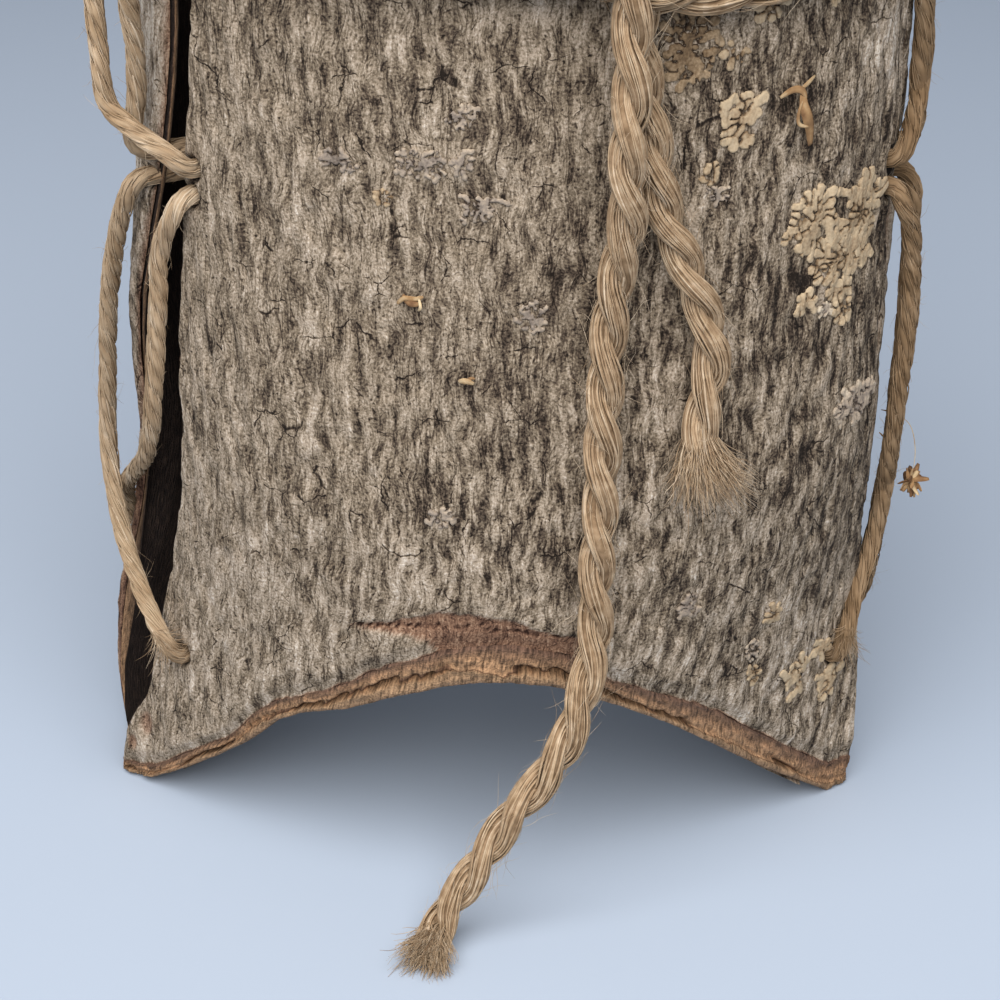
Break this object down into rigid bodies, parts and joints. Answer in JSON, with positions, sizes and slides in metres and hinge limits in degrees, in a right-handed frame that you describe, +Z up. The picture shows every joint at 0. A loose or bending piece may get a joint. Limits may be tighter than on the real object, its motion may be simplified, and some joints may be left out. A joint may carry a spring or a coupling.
{
  "type": "bark berry basket",
  "caption": "Folded bark berry basket with an arched base, laced open sides, split-wood rim hoops bound with twine and a knotted tie cord round the body.",
  "frame": {"origin": "on the floor under the middle of the basket's box, tails of the tie cord left out", "axes": "+Z up from the feet to the rim, -Y towards the front wall with the knot, +X to the right seen from the front"},
  "size_m": [0.1281, 0.0982, 0.1981],
  "materials": {
    "inner_bark": "brown fibrous inner bark, cut and rubbed",
    "outer_bark": "grey furrowed outer bark, matt, with lichen",
    "split_wood": "split and scraped wood, satin from handling",
    "jute_twine": "twisted jute twine, matt and hairy",
    "jute_cord": "two-strand hand-twisted jute cord, matt and hairy"
  },
  "bodies": {
    "root": {"inner_bark": "inner_bark", "outer_bark_front": "outer_bark", "outer_bark_rear": "outer_bark", "outer_bark_base": "outer_bark", "rim_hoop_inner": "split_wood", "rim_hoop_outer": "split_wood", "rim_lashing": "jute_twine", "left_lacing": "jute_twine", "right_lacing": "jute_twine", "left_lacing_knots": "jute_twine", "right_lacing_knots": "jute_twine", "tie_cord_belt": "jute_cord", "tie_cord_knot": "jute_cord", "tie_cord_long_tail": "jute_cord", "tie_cord_short_tail": "jute_cord"}
  },
  "joints": []
}
